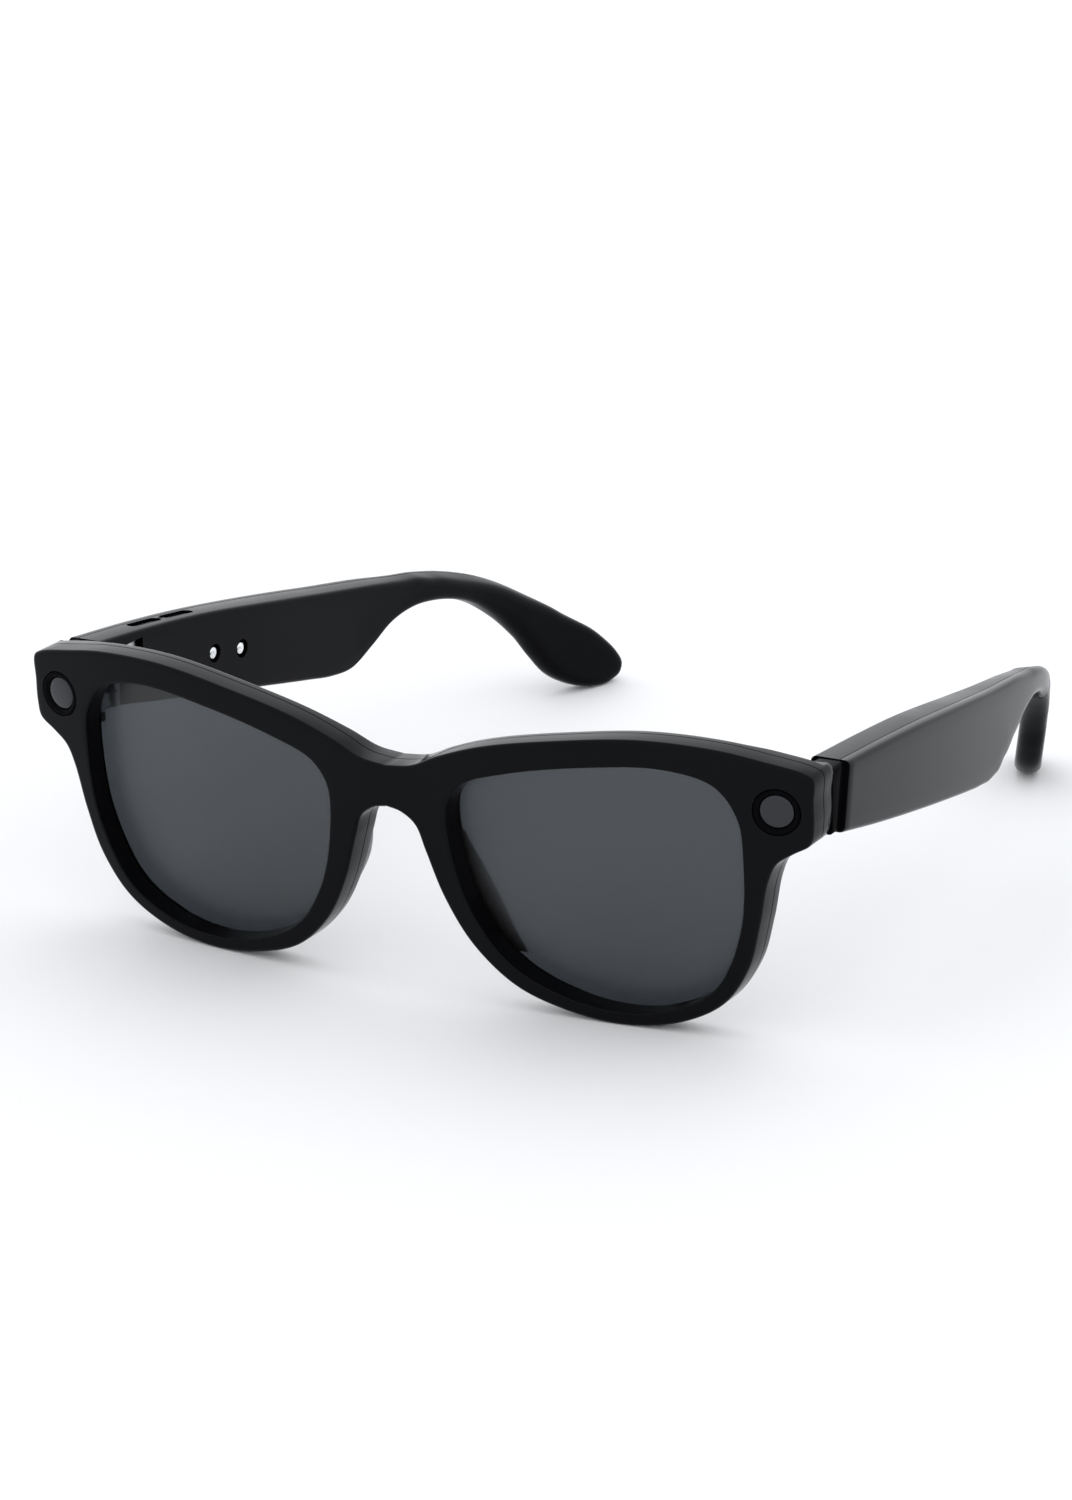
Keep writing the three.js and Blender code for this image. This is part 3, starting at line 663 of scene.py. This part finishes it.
def outer_x(y, z):
    """The outer face's x: bowed in towards the ear, with the hook's tip curled further in."""
    u = (y - 15) / 100
    plan = 75.1 - 2.34 * u - 4.64 * u * u - 0.85 * u ** 3
    low = min(max((CURL_HEIGHT - z) / CURL_HEIGHT, 0), 1) ** 1.3
    return plan - TIP_CURL * low * min(max((y - 100) / 50, 0), 1)


def thickness(y):
    return TEMPLE_THICKNESS - TIP_THINNING * smoothstep(y, 60, 125)


def value_at(places, y):
    """A value along a list of places, level beyond its ends."""
    if y <= places[0][0]:
        return places[0][1]
    for (y0, a), (y1, b) in zip(places, places[1:]):
        if y < y1:
            return mix(a, b, smoothstep(y, y0, y1))
    return places[-1][1]


def temple_point(t, drop, depth, from_top=True):
    """A point of a temple: t along it, drop in from its upper or lower edge, depth from its outer face."""
    top = TOP_EDGE(t)
    bottom = BOTTOM_EDGE(t)
    height = (top - bottom).length
    inward = depth / thickness(top.x)
    upper = value_at(INNER_DROP, top.x) * inward
    lower = height - value_at(OUTER_LIFT, top.x) * (1 - inward)
    share = (upper + drop if from_top else lower - drop) / height
    place = top.lerp(bottom, share)
    turned_out = TWIST * smoothstep(top.x, 125, 152) * (share - 0.5) * height
    return (outer_x(*place) + turned_out - depth, place.x - MIDDLE_Y, place.y)


def temple_section(t, start, end, outer_round, inner_round, steps=4):
    """A closed section from the outer depth to the inner one, its edges rounded, going round once."""
    height = (TOP_EDGE(t) - BOTTOM_EDGE(t)).length
    shrink = min(1, height / 8)
    turns = [math.pi / 2 * i / steps for i in range(steps + 1)]
    a, b = outer_round * shrink, inner_round * shrink
    outer = [(a * (1 - math.cos(turn)), start + a * (1 - math.sin(turn))) for turn in turns]
    inner = [(b * (1 - math.cos(turn)), end - b * (1 - math.sin(turn))) for turn in turns]
    points = [temple_point(t, drop, depth) for drop, depth in outer]
    points += span_points(t, outer[-1], 5)
    points += [temple_point(t, drop, depth, False) for drop, depth in reversed(outer)]
    points += [temple_point(t, drop, depth, False) for drop, depth in inner]
    points += span_points(t, inner[-1], 5)[::-1]
    points += [temple_point(t, drop, depth) for drop, depth in reversed(inner)]
    return points


def face_x(point):
    """The outer face's x at a point's place along and up the temple."""
    return outer_x(point.y + MIDDLE_Y, point.z)


def span_points(t, edge, count):
    """Points down a face of a temple, between its two rounded edges."""
    high = Vector(temple_point(t, *edge))
    low = Vector(temple_point(t, *edge, False))
    points = []
    for k in range(1, count + 1):
        share = k / (count + 1)
        place = high.lerp(low, share)
        beyond = mix(high.x - face_x(high), low.x - face_x(low), share)
        points.append((face_x(place) + beyond, place.y, place.z))
    return points


def temple_rounds(t):
    """Edge rounding on the outer and inner sides, softer along the hook."""
    soft = smoothstep(TOP_EDGE(t).x, 100, 138)
    return 1.0 + 1.5 * soft, 0.9 + 1.1 * soft


def bent(point):
    """A point of the left temple after its hook has been bent forwards and outwards."""
    share = smoothstep(point[1] + MIDDLE_Y, 106, 162)
    return (point[0] + BENT_OUT * share, point[1] - BENT_FORWARD * share, point[2])


def temple_loft(name, side, stations):
    """A temple body from (t, outer depth, inner depth, outer rounding, inner rounding) stations."""
    rows = []
    for t, start, end, outer_round, inner_round in stations:
        section = temple_section(t, start, end, outer_round, inner_round)
        rows.append([bent(p) for p in section] if side == "left" else section)
    return loft(name, rows)


def cover_stations():
    """The outer cover, its ends slightly drawn in."""
    end = COVER_THICKNESS
    yield 0, 0.12, end, 0.9, 0.1
    for i in range(101):
        t = mix(0.0012, COVER_END - 0.0012, i / 100)
        yield t, 0, end, temple_rounds(t)[0], 0.1
    yield COVER_END - 0.0006, 0.06, end, temple_rounds(COVER_END)[0], 0.1


def shell_stations():
    """Under the cover first, then the whole thickness, thinning to a round tip."""
    start = COVER_THICKNESS + 0.07
    for i in range(101):
        t = COVER_END * i / 100
        yield t, start, thickness(TOP_EDGE(t).x), 0.1, temple_rounds(t)[1]
    outer_round, inner_round = temple_rounds(COVER_END)
    depth = thickness(TOP_EDGE(COVER_END).x)
    yield COVER_END + 0.0002, 0.1, depth, outer_round, inner_round
    for i in range(81):
        t = mix(COVER_END + 0.0008, 1, i / 80)
        outer_round, inner_round = temple_rounds(t)
        late = max(0, (t - 0.9) / 0.1)
        pull = 1.9 * (1 - math.sqrt(max(0, 1 - late * late)))
        yield t, pull, thickness(TOP_EDGE(t).x) - pull, outer_round, inner_round


def along(y):
    """The t at which the upper edge reaches y."""
    low, high = 0, 0.9
    for _ in range(40):
        middle = (low + high) / 2
        if TOP_EDGE(middle).x < y:
            low = middle
        else:
            high = middle
    return low


def top_matrix(y):
    """A place on the upper edge, its Z square to the edge."""
    x, _, z = temple_point(along(y), 0, 3.6)
    slope = (TOP_EDGE(along(y + 4)).y - TOP_EDGE(along(y - 4)).y) / 8
    swing = (outer_x(y + 4, z) - outer_x(y - 4, z)) / 8
    turn = Matrix.Rotation(-math.atan(swing), 4, "Z") @ Matrix.Rotation(math.atan(slope), 4, "X")
    return Matrix.Translation(Vector((x, y - MIDDLE_Y, z)) * MM) @ turn


def stadium(name, matrix, length, width, low, high, crown=0.0, edge=0.15):
    """A rounded-end key or slot, with a softened upper edge."""
    outline = []
    reach = (length - width) / 2
    for k in range(48):
        turn = 2 * math.pi * k / 48
        shift = reach if math.sin(turn) > 0 else -reach
        outline.append((math.cos(turn), math.sin(turn), shift))
    rows = []
    levels = [(0, low), (0, high - edge), (edge * 0.3, high - edge * 0.3), (edge, high),
              (width * 0.28, high + crown), (width * 0.45, high + crown * 1.3)]
    for inset, level in levels:
        radius = width / 2 - inset
        rows.append([(c * radius, s * radius + shift, level) for c, s, shift in outline])
    piece = loft(name, rows)
    piece.data.transform(matrix)
    return piece


def wall_matrix(y, z):
    """A place on the outer face, its Y pointing into the temple."""
    place = Vector((outer_x(y, z), y - MIDDLE_Y, z)) * MM
    return Matrix.Translation(place) @ Matrix.Rotation(math.pi / 2, 4, "Z")


def mouth_matrix():
    """The speaker's mouth on the temple's lower edge."""
    place = Vector(temple_point(along(SPEAKER_MOUTH_Y), 0, 4.2, False)) * MM
    turn = Matrix.Rotation(0.08, 4, "Z") @ Matrix.Rotation(-0.19, 4, "X")
    return Matrix.Translation(place) @ turn


def cut_right_temple(inner):
    """The key slots, the lamp's hole and the seats of the two contacts."""
    for y in KEY_CENTRES_Y:
        cut(inner, stadium("tool", top_matrix(y), KEY_LENGTH + 0.5, KEY_WIDTH + 0.5, -KEY_SLOT_DEPTH, 2))
    cut(inner, stadium("tool", top_matrix(LAMP_Y), 0.9, 0.9, -0.9, 2))
    seat = [(CONTACT_RADIUS + 0.55, 9), (CONTACT_RADIUS + 0.5, 4.6)]
    for y, z in CONTACTS:
        cut(inner, turned("tool", seat, wall_matrix(y, z), 48))


def temple_shell(side):
    """The inner shell, which becomes the ear hook, with the pocket of its hinge leaf."""
    inner = temple_loft("temple_inner_" + side, side, shell_stations())
    cut(inner, box_tool(*((x, y - MIDDLE_Y, z) for x, y, z in LEAF_POCKET)))
    cut(inner, stadium("tool", mouth_matrix(), 8, 1.8, -1, 1.2))
    if side == "right":
        cut_right_temple(inner)
        flipped(inner)
    finish_piece(inner, "temple_" + side, "gloss_frame", ["temple_shell_" + side], INSIDE)


def temple_cover(side):
    piece = temple_loft("temple_outer_" + side, side, cover_stations())
    if side == "right":
        flipped(piece)
    finish_piece(piece, "temple_" + side, "gloss_frame", ["temple_cover_" + side], COVER)


def end_cap(side):
    """The glossy strip between the endpiece and the temple."""
    section = temple_section(0, 0.9, 6.2, 0.9, 0.9)
    start = BLOCK_REAR_Y + STRIP_GAP - MIDDLE_Y
    middle = Vector((71, 0, 42))

    def shrunk(p, share):
        return (mix(middle.x, p[0], share), p[1], mix(middle.z, p[2], share))

    rows = [[shrunk((p[0], start, p[2]), 0.94) for p in section],
            [shrunk((p[0], start + 0.25, p[2]), 0.97) for p in section],
            [shrunk((p[0], p[1] - 0.08, p[2]), 0.97) for p in section]]
    piece = loft("end_strip_" + side, rows)
    if side == "right":
        flipped(piece)
    finish_piece(piece, "temple_" + side, "black_trim", ["temple_end_cap_" + side])


def keys():
    """Two pill-shaped keys in the upper edge, and the lamp between them."""
    for y, name in zip(KEY_CENTRES_Y, ("front", "rear")):
        piece = stadium("press_key_" + name, top_matrix(y), KEY_LENGTH, KEY_WIDTH, -1.25, -0.5, 0.1)
        flipped(piece)
        finish_piece(piece, name + "_key", "black_trim", ["key_" + name], KEY, angle=60)
    light = stadium("status_lamp", top_matrix(LAMP_Y), 0.62, 0.6, -0.95, -0.25, 0.08, 0.08)
    flipped(light)
    finish_piece(light, "temple_right", "dark_glass", ["status_light"], angle=60)


def contacts():
    """Low bright domes, just under the temple's inner face."""
    for (y, z), name in zip(CONTACTS, ("front", "rear")):
        depth = thickness(y)
        dome = [(CONTACT_RADIUS, 4.75), (CONTACT_RADIUS, depth - 0.5),
                (CONTACT_RADIUS * 0.93, depth - 0.3), (CONTACT_RADIUS * 0.72, depth - 0.16),
                (CONTACT_RADIUS * 0.4, depth - 0.08), (0.02, depth - 0.06)]
        piece = turned("charge_dome_" + name, dome, wall_matrix(y, z), 48)
        flipped(piece)
        finish_piece(piece, "temple_right", "contact_metal", ["charging_contact_" + name], angle=60)


def cad_materials():
    """Materials for the CAD nodes that stay visible."""
    kinds = {
        "hinge": STEEL, "battery": CAN, "speaker_mesh": STEEL, "speaker": TRIM, "touch_flex": FLEX,
        "flex_cable": FLEX, "nose_microphone": CAN, "camera_lens": GLASS, "camera_module": CAN,
        "light_board": BOARD, "main_board": BOARD, "support_board": BOARD, "key_switch": STEEL,
    }
    for name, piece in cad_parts.items():
        look = next((kinds[key] for key in kinds if name.startswith(key)), GLOSS)
        if not piece.data.materials:
            piece.data.materials.append(look)
        for slot in piece.material_slots:
            slot.material = look


# ---- studio ----
def floor():
    """A plain pale floor, in metres."""
    size = 6
    points = [(-size, -size, 0), (size, -size, 0), (size, size, 0), (-size, size, 0)]
    piece = mesh_object("floor", points, [(0, 1, 2, 3)], 1)
    made = material("floor", (0.9, 0.9, 0.91), 0.75, Specular_IOR_Level=0.2)
    tinted(made, noise(made, 3, 2), (0.895, 0.897, 0.905), (0.905, 0.905, 0.91))
    piece.data.materials.append(made)


def area_light(name, place, size, power):
    """A rectangular lamp that faces the origin."""
    data = bpy.data.lights.new(name, "AREA")
    data.shape = "RECTANGLE"
    data.size, data.size_y = size
    data.energy = power
    light = bpy.data.objects.new(name, data)
    light.location = place
    light.rotation_euler = (-Vector(place)).to_track_quat("-Z", "Y").to_euler()
    bpy.context.scene.collection.objects.link(light)


def studio():
    """Even white surroundings, with one soft panel behind."""
    scene = bpy.context.scene
    scene.view_settings.view_transform = "Standard"
    world = bpy.data.worlds.new("studio")
    scene.world = world
    world.use_nodes = True
    back = world.node_tree.nodes["Background"]
    back.inputs["Color"].default_value = (0.965, 0.98, 1, 1)
    back.inputs["Strength"].default_value = 1.205
    area_light("back_panel", (-0.95, 1.9, 1.0), (2.4, 1.3), 3)


FOCAL_LENGTH = 115.9
SENSOR_WIDTH = 36
CAMERA_PLACE = (0.378514, -0.736122, 0.300789)
CAMERA_AZIMUTH = 28.32
CAMERA_DOWN = 18.8479
CAMERA_ROLL = -0.5769


def camera():
    """In front, to the wearer's left, looking down; the angles are in degrees."""
    data = bpy.data.cameras.new("camera")
    data.lens = FOCAL_LENGTH
    data.sensor_width = SENSOR_WIDTH
    data.clip_start = 0.05
    data.clip_end = 50
    piece = bpy.data.objects.new("camera", data)
    around = Matrix.Rotation(math.radians(CAMERA_AZIMUTH), 4, "Z")
    tilt = Matrix.Rotation(math.radians(90 - CAMERA_DOWN), 4, "X")
    roll = Matrix.Rotation(math.radians(CAMERA_ROLL), 4, "Z")
    piece.matrix_world = Matrix.Translation(CAMERA_PLACE) @ around @ tilt @ roll
    bpy.context.scene.collection.objects.link(piece)
    bpy.context.scene.camera = piece


camera()
studio()
floor()
cad_materials()
front_frame()
rear_frame()
for side_name in ("right", "left"):
    lens_piece(side_name)
    nose_pad(side_name)
    temple_shell(side_name)
    temple_cover(side_name)
    end_cap(side_name)
eye_ring(-1, "camera")
eye_ring(1, "light")
keys()
contacts()
